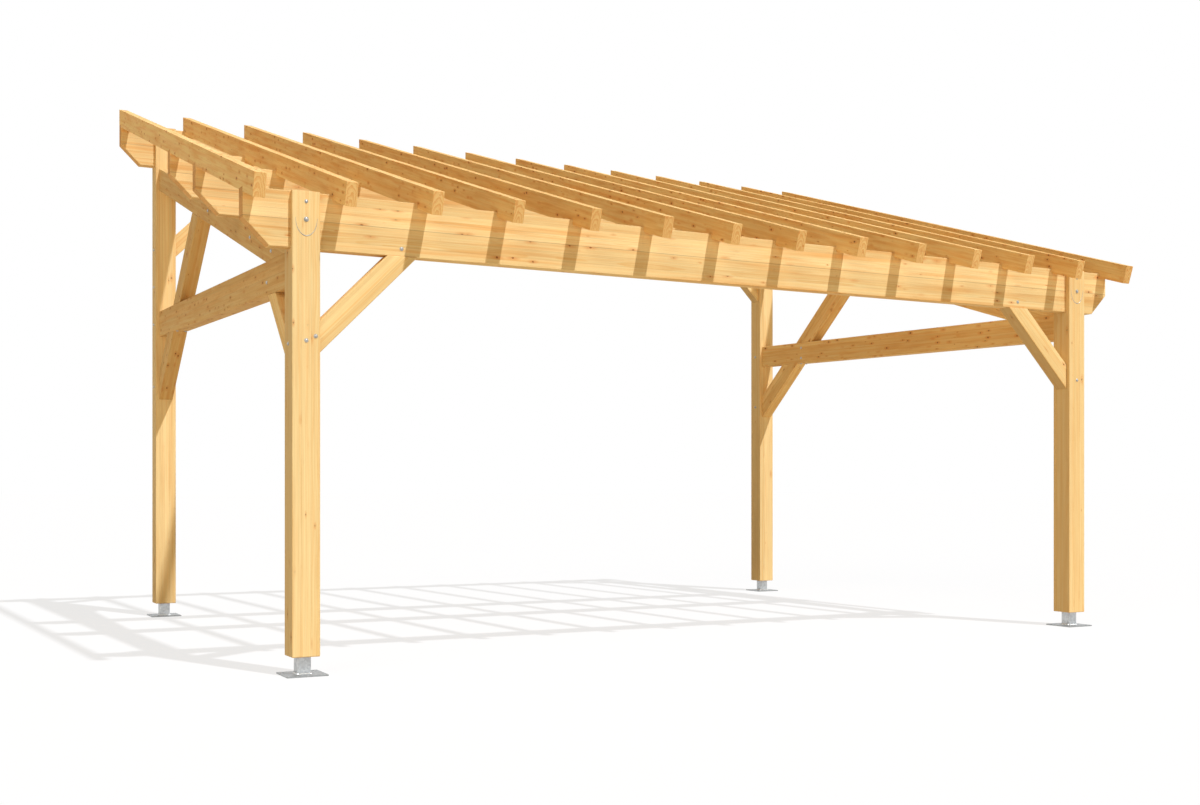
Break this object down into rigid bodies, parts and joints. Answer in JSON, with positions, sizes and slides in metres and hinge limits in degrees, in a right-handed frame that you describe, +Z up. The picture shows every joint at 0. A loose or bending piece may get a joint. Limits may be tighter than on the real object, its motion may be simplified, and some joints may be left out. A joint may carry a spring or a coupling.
{
  "type": "timber carport frame",
  "caption": "Open timber carport frame with a single-pitch roof: braced posts on steel shoes, deep purlins with cut ends, tie beams and bare rafters.",
  "frame": {"origin": "on the ground, under the middle of the whole outline", "axes": "+X along the purlins, to the right seen from the low front side; -Y towards the low front side; +Z up"},
  "size_m": [6.25, 4.25, 3.8908],
  "materials": {
    "spruce_posts": "planed laminated spruce, honey stain",
    "spruce_purlins": "planed laminated spruce, honey stain",
    "spruce_rafters": "planed spruce, honey stain",
    "spruce_frame_timbers": "planed laminated spruce, honey stain",
    "galvanised_steel": "hot-dip galvanised, matt spangle"
  },
  "bodies": {
    "root": {"front_left_post_shoe": "galvanised_steel", "front_left_post": "spruce_posts", "front_left_brace": "spruce_frame_timbers", "rear_left_post_shoe": "galvanised_steel", "rear_left_post": "spruce_posts", "rear_left_brace": "spruce_frame_timbers", "front_right_post_shoe": "galvanised_steel", "front_right_post": "spruce_posts", "front_right_brace": "spruce_frame_timbers", "rear_right_post_shoe": "galvanised_steel", "rear_right_post": "spruce_posts", "rear_right_brace": "spruce_frame_timbers", "left_tie_beam": "spruce_frame_timbers", "left_principal": "spruce_frame_timbers", "left_lower_strut": "spruce_frame_timbers", "left_upper_strut": "spruce_frame_timbers", "right_tie_beam": "spruce_frame_timbers", "right_principal": "spruce_frame_timbers", "right_lower_strut": "spruce_frame_timbers", "right_upper_strut": "spruce_frame_timbers", "left_tie_brace": "spruce_frame_timbers", "front_purlin": "spruce_purlins", "lower_middle_purlin": "spruce_purlins", "upper_middle_purlin": "spruce_purlins", "rear_purlin": "spruce_purlins", "rafter_01": "spruce_rafters", "rafter_02": "spruce_rafters", "rafter_03": "spruce_rafters", "rafter_04": "spruce_rafters", "rafter_05": "spruce_rafters", "rafter_06": "spruce_rafters", "rafter_07": "spruce_rafters", "rafter_08": "spruce_rafters", "rafter_09": "spruce_rafters", "rafter_10": "spruce_rafters", "rafter_11": "spruce_rafters", "rafter_12": "spruce_rafters", "rafter_13": "spruce_rafters", "rafter_14": "spruce_rafters"}
  },
  "joints": []
}
